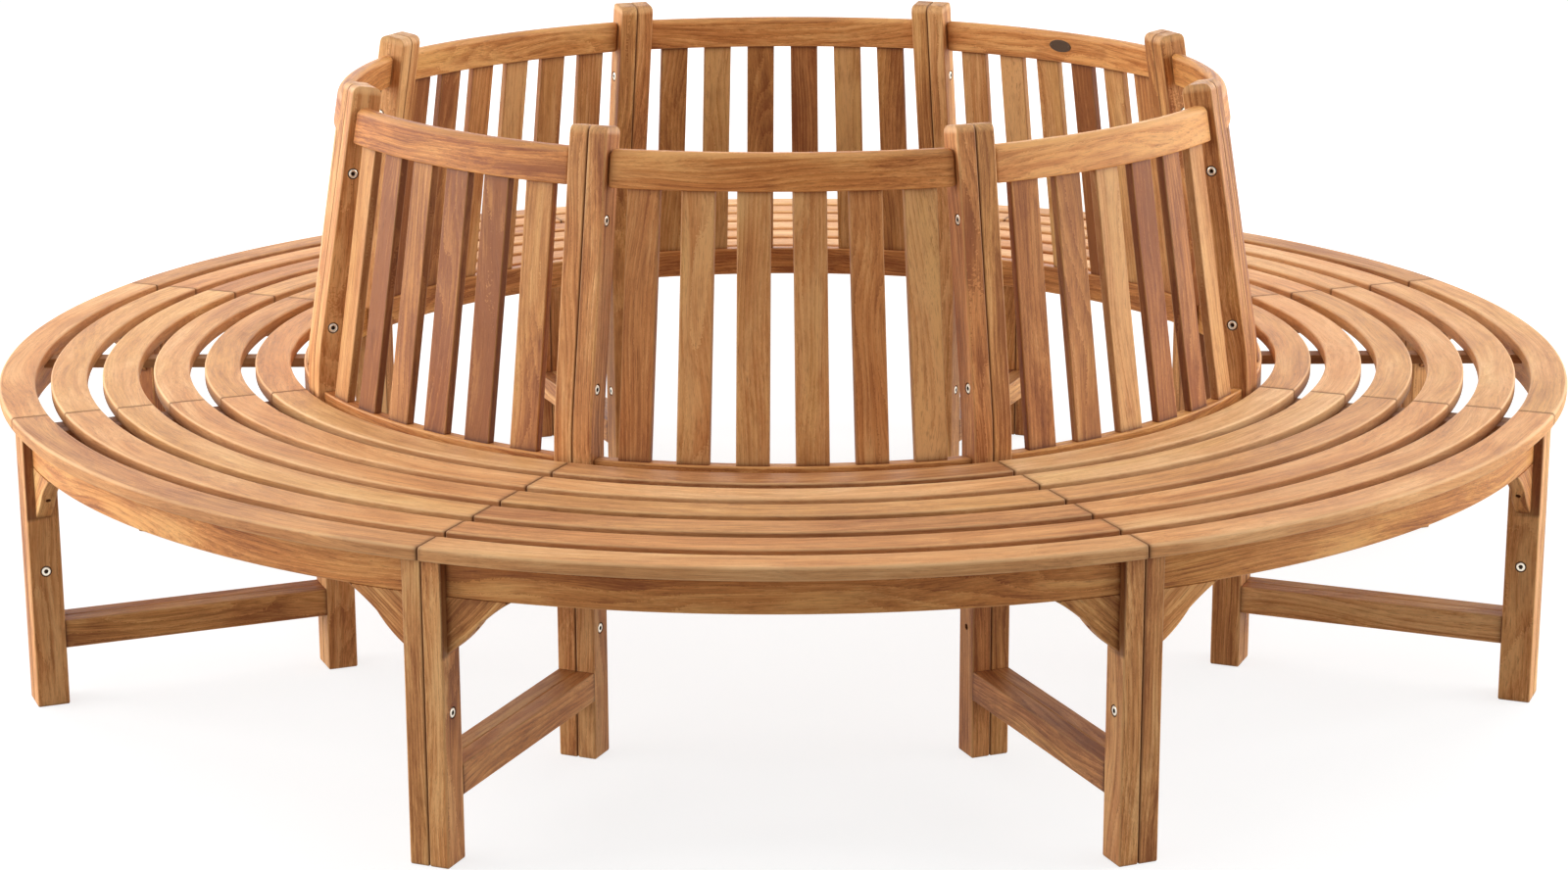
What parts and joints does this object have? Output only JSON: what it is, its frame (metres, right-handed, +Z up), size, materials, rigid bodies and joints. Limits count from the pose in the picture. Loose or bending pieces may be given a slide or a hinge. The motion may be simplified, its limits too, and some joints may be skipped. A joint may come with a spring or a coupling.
{
  "type": "tree bench",
  "caption": "Round timber bench that stands round a tree, in equal curved sections with slatted seat, leaning slatted back, square legs, stretchers and ogee corner brackets.",
  "frame": {"origin": "on the floor, at the middle of the ring", "axes": "+Z up, along the ring's axis; -Y towards the middle of section 1, which faces the camera; section numbers run towards +X"},
  "size_m": [2.4, 2.4, 0.883],
  "materials": {
    "seat_slat_wood": "oiled teak, satin, sanded edges",
    "back_slat_wood": "oiled teak, satin",
    "rail_wood": "oiled teak, satin, rounded edges",
    "frame_wood": "oiled teak, satin",
    "bolt_metal": "bright connector bolt head",
    "plate_metal": "dark blank oval plate"
  },
  "bodies": {
    "root": {"aprons": "rail_wood", "bottom_rails": "rail_wood", "corner_brackets": "rail_wood", "seat_battens": "frame_wood", "seat_slats_row_1": "seat_slat_wood", "seat_slats_row_2": "seat_slat_wood", "seat_slats_row_3": "seat_slat_wood", "seat_slats_row_4": "seat_slat_wood", "seat_slats_row_5": "seat_slat_wood", "seat_slats_row_6": "seat_slat_wood", "section_1_back_posts": "frame_wood", "section_1_back_slats": "back_slat_wood", "section_1_front_legs": "frame_wood", "section_1_seat_bearers": "frame_wood", "section_1_stretchers": "frame_wood", "section_2_back_posts": "frame_wood", "section_2_back_slats": "back_slat_wood", "section_2_front_legs": "frame_wood", "section_2_seat_bearers": "frame_wood", "section_2_stretchers": "frame_wood", "section_3_back_posts": "frame_wood", "section_3_back_slats": "back_slat_wood", "section_3_front_legs": "frame_wood", "section_3_seat_bearers": "frame_wood", "section_3_stretchers": "frame_wood", "section_4_back_posts": "frame_wood", "section_4_back_slats": "back_slat_wood", "section_4_front_legs": "frame_wood", "section_4_seat_bearers": "frame_wood", "section_4_stretchers": "frame_wood", "section_5_back_posts": "frame_wood", "section_5_back_slats": "back_slat_wood", "section_5_front_legs": "frame_wood", "section_5_seat_bearers": "frame_wood", "section_5_stretchers": "frame_wood", "section_6_back_posts": "frame_wood", "section_6_back_slats": "back_slat_wood", "section_6_front_legs": "frame_wood", "section_6_seat_bearers": "frame_wood", "section_6_stretchers": "frame_wood", "section_7_back_posts": "frame_wood", "section_7_back_slats": "back_slat_wood", "section_7_front_legs": "frame_wood", "section_7_seat_bearers": "frame_wood", "section_7_stretchers": "frame_wood", "section_8_back_posts": "frame_wood", "section_8_back_slats": "back_slat_wood", "section_8_front_legs": "frame_wood", "section_8_seat_bearers": "frame_wood", "section_8_stretchers": "frame_wood", "top_rails": "rail_wood"}
  },
  "joints": []
}
